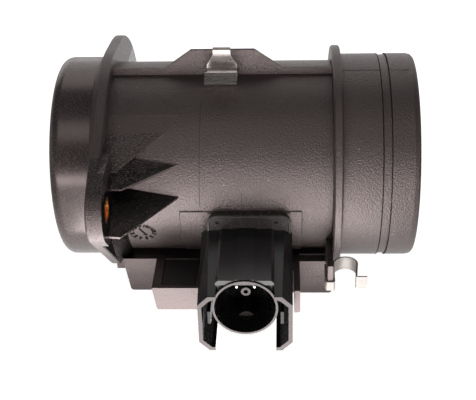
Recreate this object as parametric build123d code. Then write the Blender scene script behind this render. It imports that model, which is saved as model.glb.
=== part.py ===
from build123d import *

import os
from math import asin, cos, degrees, radians, sin, sqrt

# Mass airflow sensor: moulded duct with a two-eared flange, a plug-in sensing module and two clips.
# Millimetres. The duct lies along X and air flows towards +X. The origin is on the duct's axis, at the inlet
# face of the flange. The connector points to -Y and +Z is up.

# Duct
TUBE_RADIUS = 41.3
TUBE_WALL = 3.8
TUBE_LENGTH = 96.2
INLET_LENGTH = 20.0
INLET_STEP = 2.2
INLET_ROUNDING = 4.5
COLLAR_THICKNESS = 3.65
COLLAR_HEIGHT = 3.75
COLLAR_CHAMFER = 0.6
OUTLET_LENGTH = 31.15
OUTLET_STEP = 2.7
OUTLET_LEAD = 2.4
OUTLET_CHAMFER = 0.8
OUTLET_WALL = 3.0
GROOVE_OFFSET = 15.95
GROOVE_WIDTH = 3.8
GROOVE_DEPTH = 0.5
DIFFUSER_LENGTH = 6.0

# Flange and its metal bushings
FLANGE_THICKNESS = 4.2
FLANGE_HEIGHT = 6.9
FLANGE_CHAMFER = 0.5
EAR_RADIUS = 12.9
EAR_OFFSET = 19.4
EAR_Z = 9.5
SHOULDER_Y = 15.4
SHOULDER_DROP = 9.5
SHOULDER_HEIGHT = 14.2
SHOULDER_ARC = 58.0
BOSS_THICKNESS = 6.6
BOSS_BELOW = 14.9
BOSS_ABOVE = 15.5
BOSS_INSIDE = 17.7
BUSHING_RADIUS = 5.2
BUSHING_WALL = 1.4
GUSSET_FOOT = 10.0
GUSSET_START = 177.0
GUSSET_ARC = 55.0

# Webs between flange and tube: angle of the foot's end on the tube, climb towards the flange, fall and reach
WEB_THICKNESS = 1.4
WEB_FOOT_END = 33.0
WEB_FOOT_ROUNDING = 1.0
WEB_TIP_WIDTH = 4.2
WEB_ROOT = 6.5
UPPER_WEB_ANGLE = 48.5
UPPER_WEB_REACH = 21.4
MIDDLE_WEB_ANGLE = 24.1
MIDDLE_WEB_CLIMB = 5.0
MIDDLE_WEB_FALL = 31.0
MIDDLE_WEB_REACH = 12.5
LOWER_WEB_ANGLE = 5.0
LOWER_WEB_CLIMB = 8.9
LOWER_WEB_FALL = 25.0
LOWER_WEB_REACH = 21.5

# Wall and rails on top of the tube
WALL_FRONT = 4.3
WALL_THICKNESS = 1.2
WALL_HEIGHT = 11.1
WALL_SLOPE = 11.5
WALL_BEFORE_CLIP = 12.5
WALL_AFTER_CLIP = 13.4
RAIL_HEIGHT = 2.8

# Box under the tube, the step in front of it and the fin for the lower clip
BOX_TOP_INSET = 8.3
BOX_HEIGHT = 16.8
BOX_INSET = 8.0
BOX_BACK = 12.0
BOX_GAP = 1.6
BOX_DRAFT = 2.5
BOX_LAP = 0.5
BOX_CORNER = 1.5
BOX_WALL = 2.6
RIB_COUNT = 5
RIB_THICKNESS = 1.6
STEP_REACH = 13.2
STEP_HEIGHT = 11.2
STEP_BEFORE = 40.0
STEP_AFTER = 22.0
STEP_DRAFT = 1.6
STEP_CORNER = 1.0
OUTLET_SIDE_REACH = 2.0
LEDGE_DEPTH = 2.8
LEDGE_HEIGHT = 0.6
FIN_THICKNESS = 2.6
FIN_ABOVE = 7.5
FIN_MARGIN = 0.3
FIN_NECK = 6.0

# Lid and circuit board in the step
LID_RIM = 2.2
LID_THICKNESS = 1.0
LID_DROP = 0.3
LID_LEDGE = 1.5
LID_CLEARANCE = 0.15
POCKET_DEPTH = 8.0
BOARD_CLEARANCE = 0.2
BOARD_THICKNESS = 1.2
CHIP_MARGIN = 3.5
CHIP_THICKNESS = 1.4

# Seat of the sensing module, the raised patch of tube around it and the dial recess
MODULE_TO_COLLAR = 35.6
SEAT_STANDOFF = 0.9
SEAT_SHIFT = 0.9
SEAT_INSET = 0.2
SEAT_TOP = 4.0
SEAT_DROP = 3.7
PATCH_BEFORE = 27.7
PATCH_AFTER = 22.7
PATCH_TOP = 3.7
PATCH_HEIGHT = 0.5
DIAL_X = 16.4
DIAL_ANGLE = -23.4
DIAL_RADIUS = 5.8
DIAL_DEPTH = 0.5

# Connector
PLATE_THICKNESS = 2.8
PLATE_HALF_WIDTH = 17.3
PLATE_TOP = 3.3
PLATE_CORNER = 4.5
DIMPLE_RADIUS = 0.8
DIMPLE_SPACING = 24.1
DIMPLE_DROP = 3.2
SOCKET_DROP = 24.3
SOCKET_RADIUS = 13.0
SOCKET_WALL = 0.9
SOCKET_LENGTH = 34.3
SOCKET_DEPTH = 22.3
LIP_LENGTH = 1.8
HOOD_HALF_WIDTH = 11.4
HOOD_RISE = 12.7
HOOD_CORNER = 1.2
HOOD_CHAMFER = 0.8
BAND_HALF_WIDTH = 3.65
BAND_HEIGHT = 0.4
POST_RADIUS = 2.0
POST_HOLE_RADIUS = 0.9
POST_LENGTH = 11.5
KEY_RADIUS = 3.6
KEY_RISE = 2.1
WING_HALF_WIDTH = 18.7
WING_RISE = 6.0
WING_HEIGHT = 26.7
WING_WALL = 1.6
WING_CHAMFER = 4.2
WING_MOUTH = 12.1
WING_LENGTH = 35.0
WING_GAP = 0.8
GUIDE_THICKNESS = 1.3
GUIDE_HEIGHT = 6.0
GUIDE_SETBACK = 4.0
PIN_COUNT = 3
PIN_RADIUS = 0.8
PIN_CIRCLE = 4.85
PIN_SPACING = 47.0
PIN_LENGTH = 13.0

# Sensing finger in the bore
FINGER_LENGTH = 18.0
FINGER_THICKNESS = 12.0
FINGER_DROP = 13.0
FINGER_PAST_AXIS = 6.0
FINGER_NOSE = 4.0
FINGER_TAIL = 2.0
FINGER_CLEARANCE = 0.4
CHANNEL_WIDTH = 6.0
CHANNEL_DEPTH = 6.5
CHANNEL_RUN = 25.0
COVER_THICKNESS = 1.5
COVER_LENGTH = 38.0
CERAMIC_THICKNESS = 0.8
CERAMIC_WIDTH = 4.4
CERAMIC_LENGTH = 34.0
ELEMENT_SIZE = 4.0
ELEMENT_THICKNESS = 0.4
SEAL_WIDTH = 1.8
SEAL_THICKNESS = 1.0
BEAD_RADIUS = 1.3
BEAD_LENGTH = 3.0
LEAD_RADIUS = 0.35
LEAD_LENGTH = 4.0
LEAD_SPACING = 1.4
PROBE_Y = -12.0

# Flow grid in the inlet
GRID_SEAT_STEP = 1.0
GRID_SEAT_DEPTH = 16.0
GRID_THICKNESS = 8.0
GRID_RIM = 2.2
GRID_PITCH = 9.4
GRID_BAR = 1.0
RETAINER_THICKNESS = 2.0

# Spring clips
CLIP_STEEL = 0.7
CLIP_BEND = 0.75
CLIP_SEAT_ROUNDING = 0.5
CLIP_FOLD = 0.5
CLIP_TO_MODULE = 10.3
CLIP_STRAP_WIDTH = 7.3
CLIP_BODY_WIDTH = 12.6
CLIP_LIP_WIDTH = 13.3
CLIP_BACK_LEG = 8.6
CLIP_FRONT_LEG = 7.2
CLIP_ARCH_RADIUS = 4.4
CLIP_RETURN = 1.1
CLIP_LIP = 5.0
CLIP_LIP_FALL = 3.4
CLIP_SHOULDER_DROP = 2.4
CLIP_SHOULDER_HEIGHT = 4.6
LOWER_CLIP_DROP = 28.0
LOWER_CLIP_HEIGHT = 6.0
LOWER_NOSE_HEIGHT = 4.2
LOWER_NOSE_LENGTH = 4.0
LOWER_CLIP_LEG = 12.4
LOWER_ARCH_RADIUS = 5.3
LOWER_ARCH_CLEARANCE = 0.12
LOWER_CLIP_RETURN = 8.7
LOWER_CLIP_SLANT = 1.5
LOWER_CLIP_LIP = 4.6

# Places that follow from the sizes
BORE_RADIUS = TUBE_RADIUS - TUBE_WALL
INLET_RADIUS = TUBE_RADIUS + INLET_STEP
OUTLET_RADIUS = TUBE_RADIUS + OUTLET_STEP
OUTLET_BORE_RADIUS = OUTLET_RADIUS - OUTLET_WALL
COLLAR_RADIUS = OUTLET_RADIUS + COLLAR_HEIGHT
COLLAR_END = TUBE_LENGTH + COLLAR_THICKNESS
GROOVE_START = COLLAR_END + GROOVE_OFFSET
OUTLET_END = COLLAR_END + OUTLET_LENGTH
FLANGE_RADIUS = TUBE_RADIUS + FLANGE_HEIGHT
SHOULDER_RADIUS = TUBE_RADIUS + SHOULDER_HEIGHT
NEAR_EAR_Y = -TUBE_RADIUS - EAR_OFFSET
FAR_EAR_Y = SHOULDER_Y + sqrt((SHOULDER_RADIUS - EAR_RADIUS) ** 2 - (EAR_Z + SHOULDER_DROP) ** 2)
MODULE_X = TUBE_LENGTH - MODULE_TO_COLLAR
SEAT_X = MODULE_X + SEAT_SHIFT
SEAT_HALF_WIDTH = PLATE_HALF_WIDTH - SEAT_INSET
SEAT_BOTTOM = TUBE_RADIUS + SEAT_DROP
PATCH_START = MODULE_X - PATCH_BEFORE
PATCH_END = MODULE_X + PATCH_AFTER
CLIP_X = MODULE_X - CLIP_TO_MODULE
WALL_TOP_START = CLIP_X - WALL_BEFORE_CLIP
WALL_TOP_END = CLIP_X + WALL_AFTER_CLIP
BOX_TOP = BOX_TOP_INSET - TUBE_RADIUS
BOX_BOTTOM = BOX_TOP - BOX_HEIGHT
BOX_FRONT = TUBE_RADIUS - BOX_INSET
BOX_START = FLANGE_THICKNESS + BOX_GAP
BOX_END = TUBE_LENGTH + BOX_LAP
STEP_BOTTOM = BOX_TOP - STEP_HEIGHT
STEP_FRONT = TUBE_RADIUS + STEP_REACH
STEP_START = MODULE_X - STEP_BEFORE
STEP_END = MODULE_X + STEP_AFTER
LOWER_ARCH_Y = -sqrt(COLLAR_RADIUS**2 - LOWER_CLIP_DROP**2) - LOWER_ARCH_CLEARANCE - CLIP_STEEL / 2
LOWER_NOSE_Y = LOWER_ARCH_Y - LOWER_ARCH_RADIUS - LOWER_CLIP_LEG
FIN_FRONT = -LOWER_NOSE_Y - CLIP_STEEL / 2
SEAT_Y = -TUBE_RADIUS - SEAT_STANDOFF
PLATE_Y = SEAT_Y - PLATE_THICKNESS
MOUTH_Y = PLATE_Y - SOCKET_LENGTH
FLOOR_Y = MOUTH_Y + SOCKET_DEPTH
FINGER_START = MODULE_X - FINGER_LENGTH / 2
FINGER_END = FINGER_START + FINGER_LENGTH
FINGER_TOP = FINGER_THICKNESS / 2 - FINGER_DROP
FINGER_BOTTOM = FINGER_TOP - FINGER_THICKNESS
GRID_SEAT_RADIUS = BORE_RADIUS + GRID_SEAT_STEP
GRID_SEAT_X = GRID_SEAT_DEPTH - INLET_LENGTH
WALL_TOP = TUBE_RADIUS + WALL_HEIGHT
CONNECTOR_GAP = WING_HALF_WIDTH + WING_GAP
LEDGE_Z = BOX_TOP - LID_DROP - LID_THICKNESS
MERGE = FLANGE_THICKNESS / 2


def span_box(x_span, y_span, z_span):
    """Box between two X, two Y and two Z values, each pair from low to high."""
    low, high = zip(x_span, y_span, z_span)
    size = [h - l for l, h in zip(low, high)]
    return Pos(*low) * Box(*size, align=(Align.MIN, Align.MIN, Align.MIN))


def rounded_face(*corners):
    """Face whose corners are given as (x, y) or, rounded, as (x, y, radius)."""
    outline = FilletPolyline(
        *[corner[:2] for corner in corners], radius=[(*corner, 0)[2] for corner in corners], close=True
    )
    return make_face(outline)


def along_x(face, start, end):
    """Extrude a face drawn in Y and Z from one X to another."""
    return extrude(Plane.YZ.offset(start) * face, end - start)


def along_y(face, front, back):
    """Extrude a face drawn in X and Z from its front, at low Y, to its back."""
    return extrude(Plane.XZ.offset(-back) * face, back - front)


def both_sides(shape):
    """A shape and its mirror image on the other side of the XZ plane."""
    return shape + mirror(shape, Plane.XZ)


def bent_strip(points, radii):
    """Section of a bent strip of spring steel that follows a line of points."""
    return trace(FilletPolyline(*points, radius=radii), CLIP_STEEL)


def duct():
    groove_end = GROOVE_START + GROOVE_WIDTH
    groove_radius = OUTLET_RADIUS - GROOVE_DEPTH
    return revolve(rounded_face(
        (-INLET_LENGTH, 0),
        (-INLET_LENGTH, INLET_RADIUS, INLET_ROUNDING),
        (MERGE, INLET_RADIUS),
        (MERGE, TUBE_RADIUS),
        (TUBE_LENGTH, TUBE_RADIUS),
        (TUBE_LENGTH, COLLAR_RADIUS - COLLAR_CHAMFER),
        (TUBE_LENGTH + COLLAR_CHAMFER, COLLAR_RADIUS),
        (COLLAR_END - COLLAR_CHAMFER, COLLAR_RADIUS),
        (COLLAR_END, COLLAR_RADIUS - COLLAR_CHAMFER),
        (COLLAR_END, OUTLET_RADIUS),
        (GROOVE_START, OUTLET_RADIUS),
        (GROOVE_START, groove_radius),
        (groove_end, groove_radius),
        (groove_end, OUTLET_RADIUS),
        (OUTLET_END - OUTLET_LEAD, OUTLET_RADIUS),
        (OUTLET_END - OUTLET_CHAMFER, OUTLET_RADIUS - OUTLET_CHAMFER / 2),
        (OUTLET_END, OUTLET_RADIUS - OUTLET_LEAD / 2),
        (OUTLET_END, 0),
    ), Axis.X)


def bore():
    return revolve(rounded_face(
        (-INLET_LENGTH, 0),
        (-INLET_LENGTH, GRID_SEAT_RADIUS),
        (GRID_SEAT_X, GRID_SEAT_RADIUS),
        (GRID_SEAT_X, BORE_RADIUS),
        (COLLAR_END - DIFFUSER_LENGTH, BORE_RADIUS),
        (COLLAR_END, OUTLET_BORE_RADIUS),
        (OUTLET_END, OUTLET_BORE_RADIUS),
        (OUTLET_END, 0),
    ), Axis.X)


def ear_circle(y, radius):
    return Pos(y, EAR_Z) * Circle(radius)


def flange():
    """Plate with an ear in front, a rounded shoulder behind and a thicker boss around the front ear."""
    shoulder = CenterArc(
        (SHOULDER_Y, -SHOULDER_DROP), SHOULDER_RADIUS,
        degrees(asin((EAR_Z + SHOULDER_DROP) / (SHOULDER_RADIUS - EAR_RADIUS))), SHOULDER_ARC
    )
    near, far = ear_circle(NEAR_EAR_Y, EAR_RADIUS), ear_circle(FAR_EAR_Y, EAR_RADIUS)
    outline = make_hull(Circle(FLANGE_RADIUS).edges() + near.edges() + far.edges() + shoulder.edges())
    plate = along_x(outline, 0, FLANGE_THICKNESS)
    rims = plate.edges().group_by(Axis.X)
    plate = chamfer(rims[0] + rims[-1], FLANGE_CHAMFER)
    width = EAR_RADIUS + BOSS_INSIDE
    middle = Pos(NEAR_EAR_Y - EAR_RADIUS + width / 2, EAR_Z + (BOSS_ABOVE - BOSS_BELOW) / 2)
    band = middle * Rectangle(width, BOSS_ABOVE + BOSS_BELOW)
    return plate + along_x(outline & band, MERGE, BOSS_THICKNESS)


def gusset():
    """Sloping rib between the flange and the front of the tube, below the lower web."""
    inside = TUBE_RADIUS - TUBE_WALL / 2
    rim = FLANGE_RADIUS - FLANGE_CHAMFER
    face = rounded_face(
        (MERGE, inside), (MERGE, rim), (FLANGE_THICKNESS, rim),
        (GUSSET_FOOT, TUBE_RADIUS), (GUSSET_FOOT, inside)
    )
    return Rot(GUSSET_START, 0, 0) * revolve(face, Axis.X, GUSSET_ARC)


def ear_cylinders(radius):
    """Cylinders through the near ear with its boss and through the far ear."""
    return [
        along_x(ear_circle(NEAR_EAR_Y, radius), 0, BOSS_THICKNESS),
        along_x(ear_circle(FAR_EAR_Y, radius), 0, FLANGE_THICKNESS),
    ]


def web(foot_angle, climb, fall, reach, root, rise):
    """Triangular web whose upper face falls away from the tube and climbs along it towards the flange."""
    angle, climb, fall = radians(foot_angle), radians(climb), radians(fall)
    foot = Vector(WEB_FOOT_END, -TUBE_RADIUS * cos(angle), TUBE_RADIUS * sin(angle))
    along = Vector(cos(climb), sin(fall) * sin(climb), -cos(fall) * sin(climb))
    upward = Vector(sin(climb), -sin(fall) * cos(climb), cos(fall) * cos(climb))
    start, tip = MERGE - WEB_FOOT_END, rise + WEB_TIP_WIDTH - WEB_FOOT_END
    face = rounded_face(
        (start, root), (0, root), (0, 0, WEB_FOOT_ROUNDING), (tip, -reach), (start, -reach)
    )
    return extrude(Plane(origin=foot, x_dir=along, z_dir=upward) * face, -WEB_THICKNESS)


def lower_web(reach, rise):
    return web(LOWER_WEB_ANGLE, LOWER_WEB_CLIMB, LOWER_WEB_FALL, reach, WEB_ROOT, rise)


def webs():
    """Three webs behind the near ear and two behind the far one, which lies closer to the tube."""
    upper = web(UPPER_WEB_ANGLE, 0, 90 - UPPER_WEB_ANGLE, UPPER_WEB_REACH, WEB_ROOT / 2, FLANGE_THICKNESS)
    middle = web(
        MIDDLE_WEB_ANGLE, MIDDLE_WEB_CLIMB, MIDDLE_WEB_FALL, MIDDLE_WEB_REACH, WEB_ROOT, BOSS_THICKNESS
    )
    far = lower_web(LOWER_WEB_REACH + NEAR_EAR_Y + FAR_EAR_Y, FLANGE_THICKNESS)
    return [both_sides(upper), middle, lower_web(LOWER_WEB_REACH, BOSS_THICKNESS), mirror(far, Plane.XZ)]


def top_wall():
    base = sqrt(TUBE_RADIUS**2 - WALL_FRONT**2) - WALL_THICKNESS
    rail = TUBE_RADIUS + RAIL_HEIGHT
    end = TUBE_LENGTH + COLLAR_THICKNESS / 2
    face = rounded_face(
        (MERGE, base), (MERGE, rail), (WALL_TOP_START - WALL_SLOPE, rail), (WALL_TOP_START, WALL_TOP),
        (WALL_TOP_END, WALL_TOP), (WALL_TOP_END + WALL_SLOPE, rail), (end, rail), (end, base)
    )
    wall = along_y(face, -WALL_FRONT, WALL_THICKNESS - WALL_FRONT)
    return fillet(wall.edges().filter_by(Axis.X).group_by(Axis.Z)[-1], CLIP_SEAT_ROUNDING)


def outlet_half(face):
    """The part of a face, drawn in X and Z, that lies beyond the sensing module's axis."""
    return face & Pos(MODULE_X + TUBE_LENGTH / 2, 0) * Rectangle(TUBE_LENGTH, 3 * TUBE_RADIUS)


def box():
    """Box under the tube, its outlet half further forward and its inlet end joined to the flange."""
    face = rounded_face(
        (BOX_START, BOX_TOP),
        (BOX_START + BOX_DRAFT, BOX_BOTTOM, BOX_CORNER),
        (BOX_END, BOX_BOTTOM, BOX_CORNER),
        (BOX_END, BOX_TOP),
    )
    front = -BOX_FRONT - OUTLET_SIDE_REACH
    link = span_box((MERGE, BOX_START + BOX_DRAFT), (BOX_GAP * 3 - BOX_FRONT, BOX_BACK),
                    (BOX_TOP - BOX_HEIGHT / 2, BOX_TOP))
    forward = along_y(outlet_half(face), front, BOX_WALL - BOX_FRONT)
    return along_y(face, -BOX_FRONT, BOX_BACK) + [forward, link]


def box_cores():
    """The pockets between the cross ribs on the underside of the box."""
    start = BOX_START + BOX_DRAFT + BOX_WALL
    pitch = (BOX_END - BOX_WALL + RIB_THICKNESS - start) / (RIB_COUNT + 1)
    for number in range(RIB_COUNT + 1):
        low = start + number * pitch
        yield span_box((low, low + pitch - RIB_THICKNESS), (BOX_WALL - BOX_FRONT, BOX_BACK - BOX_WALL),
                       (BOX_BOTTOM, -TUBE_RADIUS - BOX_WALL))


def step():
    """Step in front of the box, open in the middle for the connector."""
    face = rounded_face(
        (STEP_START, BOX_TOP),
        (STEP_START + STEP_DRAFT, STEP_BOTTOM, STEP_CORNER),
        (STEP_END, STEP_BOTTOM, STEP_CORNER),
        (STEP_END, BOX_TOP),
    )
    front = -STEP_FRONT - OUTLET_SIDE_REACH
    block = along_y(face, -STEP_FRONT, BOX_WALL - BOX_FRONT) + along_y(outlet_half(face), front, -BOX_FRONT)
    block -= span_box((MODULE_X - CONNECTOR_GAP, MODULE_X + CONNECTOR_GAP), (front, SEAT_Y),
                      (STEP_BOTTOM, BOX_TOP))
    return block + span_box((STEP_END, BOX_END), (LEDGE_DEPTH - BOX_FRONT, 0),
                            (BOX_TOP, BOX_TOP + LEDGE_HEIGHT))


def lid_spans(margin):
    """X and Y spans of the lid's seat, drawn in by a margin."""
    start = STEP_START + STEP_DRAFT + LID_RIM
    end = MODULE_X - CONNECTOR_GAP - LID_RIM
    return (start + margin, end - margin), (LID_RIM + margin - STEP_FRONT, -BOX_FRONT - margin)


def lid_pocket():
    seat = span_box(*lid_spans(0), (LEDGE_Z, BOX_TOP))
    return seat + span_box(*lid_spans(LID_LEDGE), (LEDGE_Z - POCKET_DEPTH, LEDGE_Z))


def fin():
    """Upright plate beside the collar that carries the lower clip on its nose."""
    top = FIN_ABOVE - LOWER_CLIP_DROP
    bottom = -LOWER_CLIP_DROP - LOWER_NOSE_HEIGHT - FIN_MARGIN
    neck = FIN_NECK - BOX_FRONT - OUTLET_SIDE_REACH
    face = rounded_face(
        (neck, top), (-FIN_FRONT, top), (-FIN_FRONT, bottom), (-BOX_FRONT - OUTLET_SIDE_REACH, bottom),
        (-BOX_FRONT - OUTLET_SIDE_REACH, BOX_TOP - FIN_NECK), (neck, BOX_TOP - FIN_NECK)
    )
    plate = along_x(face, TUBE_LENGTH - FIN_THICKNESS, TUBE_LENGTH)
    return fillet(plate.edges().filter_by(Axis.Z).group_by(Axis.Y)[0], CLIP_SEAT_ROUNDING)


def module_seat():
    back = -sqrt(TUBE_RADIUS**2 - BOX_TOP**2)
    return span_box((SEAT_X - SEAT_HALF_WIDTH, SEAT_X + SEAT_HALF_WIDTH), (SEAT_Y, back),
                    (-SEAT_BOTTOM, -SEAT_TOP))


def raised_patch():
    ring = along_x(Circle(TUBE_RADIUS + PATCH_HEIGHT) - Circle(BORE_RADIUS), PATCH_START, PATCH_END)
    return ring & span_box((PATCH_START, PATCH_END), (2 * SEAT_Y, 0), (BOX_TOP, -PATCH_TOP))


def dial_recess():
    outward = Vector(0, -cos(radians(DIAL_ANGLE)), sin(radians(DIAL_ANGLE)))
    floor = Plane(
        origin=outward * (TUBE_RADIUS - DIAL_DEPTH) + Vector(DIAL_X, 0, 0), x_dir=(1, 0, 0), z_dir=outward
    )
    return extrude(floor * Circle(DIAL_RADIUS), 2 * DIAL_DEPTH)


def finger_opening(margin, front, back):
    return span_box((FINGER_START - margin, FINGER_END + margin), (front, back),
                    (FINGER_BOTTOM - margin, FINGER_TOP + margin))


def tube_housing():
    outside = [flange(), gusset(), *webs(), top_wall(), box(), step(), fin(), module_seat(), raised_patch()]
    opening = finger_opening(FINGER_CLEARANCE, SEAT_Y, -BORE_RADIUS / 2)
    return duct() + outside - [bore(), *box_cores(), lid_pocket(), dial_recess(), opening, module_seal(),
                               *ear_cylinders(BUSHING_RADIUS)]


def flange_bushings():
    sleeves, holes = ear_cylinders(BUSHING_RADIUS), ear_cylinders(BUSHING_RADIUS - BUSHING_WALL)
    return Compound(children=[sleeve - hole for sleeve, hole in zip(sleeves, holes)])


def module_seal():
    back = SEAT_Y + SEAL_THICKNESS
    ring = finger_opening(FINGER_CLEARANCE + SEAL_WIDTH, SEAT_Y, back)
    return ring - finger_opening(FINGER_CLEARANCE, SEAT_Y, back)


def root_plate():
    left, right = SEAT_X - PLATE_HALF_WIDTH, SEAT_X + PLATE_HALF_WIDTH
    face = rounded_face(
        (left, -SEAT_BOTTOM), (right, -SEAT_BOTTOM),
        (right, -PLATE_TOP, PLATE_CORNER), (left, -PLATE_TOP, PLATE_CORNER)
    )
    dimples = [
        Pos(MODULE_X + side * DIMPLE_SPACING / 2, -PLATE_TOP - DIMPLE_DROP) * Circle(DIMPLE_RADIUS)
        for side in (-1, 1)
    ]
    plate = along_y(face, PLATE_Y, SEAT_Y)
    return plate - [along_y(dimple, PLATE_Y, PLATE_Y + DIMPLE_RADIUS) for dimple in dimples]


def socket_shell():
    axis = Pos(MODULE_X, -SOCKET_DROP)
    hood_top = HOOD_RISE - SOCKET_DROP
    hood_front = MOUTH_Y + LIP_LENGTH
    left, right = MODULE_X - HOOD_HALF_WIDTH, MODULE_X + HOOD_HALF_WIDTH
    hood = along_y(rounded_face(
        (left, -SOCKET_DROP), (right, -SOCKET_DROP),
        (right, hood_top, HOOD_CORNER), (left, hood_top, HOOD_CORNER)
    ), hood_front, PLATE_Y)
    hood = chamfer(hood.edges().group_by(Axis.Y)[0].group_by(Axis.Z)[-1], HOOD_CHAMFER)
    inner_radius = SOCKET_RADIUS - SOCKET_WALL
    shell = along_y(axis * Circle(SOCKET_RADIUS), MOUTH_Y, PLATE_Y) + hood
    shell += span_box((MODULE_X - BAND_HALF_WIDTH, MODULE_X + BAND_HALF_WIDTH),
                      (hood_front + HOOD_CHAMFER, PLATE_Y), (-SOCKET_DROP, hood_top + BAND_HEIGHT))
    shell -= along_y(axis * Circle(inner_radius), MOUTH_Y, FLOOR_Y)
    post = axis * (Circle(POST_RADIUS) - Circle(POST_HOLE_RADIUS))
    key_centre = Pos(0, KEY_RISE - KEY_RADIUS - inner_radius)
    key = axis * (key_centre * Circle(KEY_RADIUS) & Circle(inner_radius + SOCKET_WALL / 2))
    return shell + [along_y(face, FLOOR_Y - POST_LENGTH, FLOOR_Y) for face in (post, key)]


def wing():
    """C-shaped guide on the low-X side of the socket, open towards it."""
    outer = MODULE_X - WING_HALF_WIDTH
    inner = outer + WING_WALL
    mouth = MODULE_X - WING_MOUTH
    root = MODULE_X - HOOD_HALF_WIDTH
    top = WING_RISE - SOCKET_DROP
    bottom = top - WING_HEIGHT
    corner = WING_CHAMFER + WING_WALL * 0.6
    face = rounded_face(
        (root, top), (outer + WING_CHAMFER, top), (outer, top - WING_CHAMFER),
        (outer, bottom + WING_CHAMFER), (outer + WING_CHAMFER, bottom), (mouth, bottom),
        (mouth, bottom + WING_WALL), (outer + corner, bottom + WING_WALL), (inner, bottom + corner),
        (inner, top - corner), (outer + corner, top - WING_WALL), (root, top - WING_WALL)
    )
    front = PLATE_Y - WING_LENGTH
    guide = (inner + mouth - GUIDE_THICKNESS) / 2
    middle = (top + bottom) / 2
    return along_y(face, front, PLATE_Y) + span_box(
        (guide, guide + GUIDE_THICKNESS), (front + GUIDE_SETBACK, PLATE_Y),
        (middle - GUIDE_HEIGHT / 2, middle + GUIDE_HEIGHT / 2)
    )


def pin_circles():
    for number in range(PIN_COUNT):
        angle = radians(90 + (number - (PIN_COUNT - 1) / 2) * PIN_SPACING)
        centre = Pos(MODULE_X + PIN_CIRCLE * cos(angle), PIN_CIRCLE * sin(angle) - SOCKET_DROP)
        yield centre * Circle(PIN_RADIUS)


def connector_housing():
    left = wing()
    right = mirror(left, Plane.YZ.offset(MODULE_X))
    return root_plate() + [socket_shell(), left, right] - [
        along_y(circle, FLOOR_Y, SEAT_Y) for circle in pin_circles()
    ]


def terminal_pins():
    pins = [along_y(circle, FLOOR_Y - PIN_LENGTH, SEAT_Y) for circle in pin_circles()]
    return Compound(children=[chamfer(pin.edges().group_by(Axis.Y)[0], PIN_RADIUS / 2) for pin in pins])


def ceramic_spans():
    """X and Z spans of the ceramic strip, which stands in the middle of the channel."""
    x = FINGER_END - CHANNEL_WIDTH
    z = FINGER_TOP - CHANNEL_DEPTH / 2
    half_x, half_z = CERAMIC_THICKNESS / 2, CERAMIC_WIDTH / 2
    return (x - half_x, x + half_x), (z - half_z, z + half_z)


def bypass_body():
    face = rounded_face(
        (FINGER_START, FINGER_BOTTOM, FINGER_NOSE), (FINGER_END, FINGER_BOTTOM, FINGER_TAIL),
        (FINGER_END, FINGER_TOP, FINGER_TAIL), (FINGER_START, FINGER_TOP, FINGER_NOSE)
    )
    floor = FINGER_TOP - CHANNEL_DEPTH
    back = FINGER_PAST_AXIS - CHANNEL_WIDTH / 2
    front = back - CHANNEL_RUN
    run = (FINGER_END - CHANNEL_WIDTH * 1.5, FINGER_END - CHANNEL_WIDTH / 2)
    slot_x, slot_z = ceramic_spans()
    return along_y(face, SEAT_Y, FINGER_PAST_AXIS) - [
        span_box((FINGER_START, run[1]), (back - CHANNEL_WIDTH, back), (floor, FINGER_TOP)),
        span_box(run, (front, back), (floor, FINGER_TOP)),
        span_box(run, (front, front + CHANNEL_WIDTH), (FINGER_BOTTOM, FINGER_TOP)),
        span_box(slot_x, (SEAT_Y, front), slot_z),
    ]


def bypass_cover():
    return span_box((FINGER_START + FINGER_NOSE, FINGER_END - FINGER_TAIL),
                    (FINGER_PAST_AXIS - COVER_LENGTH, FINGER_PAST_AXIS),
                    (FINGER_TOP, FINGER_TOP + COVER_THICKNESS))


def sensor_board():
    slot_x, slot_z = ceramic_spans()
    return span_box(slot_x, (SEAT_Y, SEAT_Y + CERAMIC_LENGTH), slot_z)


def hot_film_element():
    slot_x, slot_z = ceramic_spans()
    end = SEAT_Y + CERAMIC_LENGTH
    middle = sum(slot_z) / 2
    return span_box((slot_x[0] - ELEMENT_THICKNESS, slot_x[0]), (end - ELEMENT_SIZE, end),
                    (middle - ELEMENT_SIZE / 2, middle + ELEMENT_SIZE / 2))


def air_temperature_probe():
    z = FINGER_TOP - FINGER_THICKNESS / 2
    leads = [Pos(PROBE_Y + side * LEAD_SPACING / 2, z) * Circle(LEAD_RADIUS) for side in (-1, 1)]
    end = FINGER_START - LEAD_LENGTH
    bead = along_x(Pos(PROBE_Y, z) * Circle(BEAD_RADIUS), end - BEAD_LENGTH, end)
    bead = chamfer(bead.edges().filter_by(GeomType.CIRCLE), BEAD_RADIUS / 2)
    return bead + [along_x(lead, end - BEAD_LENGTH / 2, FINGER_START) for lead in leads]


def electronics_lid():
    return span_box(*lid_spans(LID_CLEARANCE), (LEDGE_Z, LEDGE_Z + LID_THICKNESS))


def circuit_board():
    floor = LEDGE_Z - POCKET_DEPTH
    top = floor + BOARD_THICKNESS
    board = span_box(*lid_spans(LID_LEDGE + BOARD_CLEARANCE), (floor, top))
    return board + span_box(*lid_spans(LID_LEDGE + CHIP_MARGIN), (floor, top + CHIP_THICKNESS))


def inlet_flow_grid():
    count = int(2 * GRID_SEAT_RADIUS / GRID_PITCH) + 1
    gap = GRID_PITCH - GRID_BAR
    cells = GridLocations(GRID_PITCH, GRID_PITCH, count, count) * Rectangle(gap, gap)
    opening = Circle(GRID_SEAT_RADIUS - GRID_RIM)
    holes = Sketch() + [opening & cell for cell in cells]
    return along_x(Circle(GRID_SEAT_RADIUS) - holes, GRID_SEAT_X - GRID_THICKNESS, GRID_SEAT_X)


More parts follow.
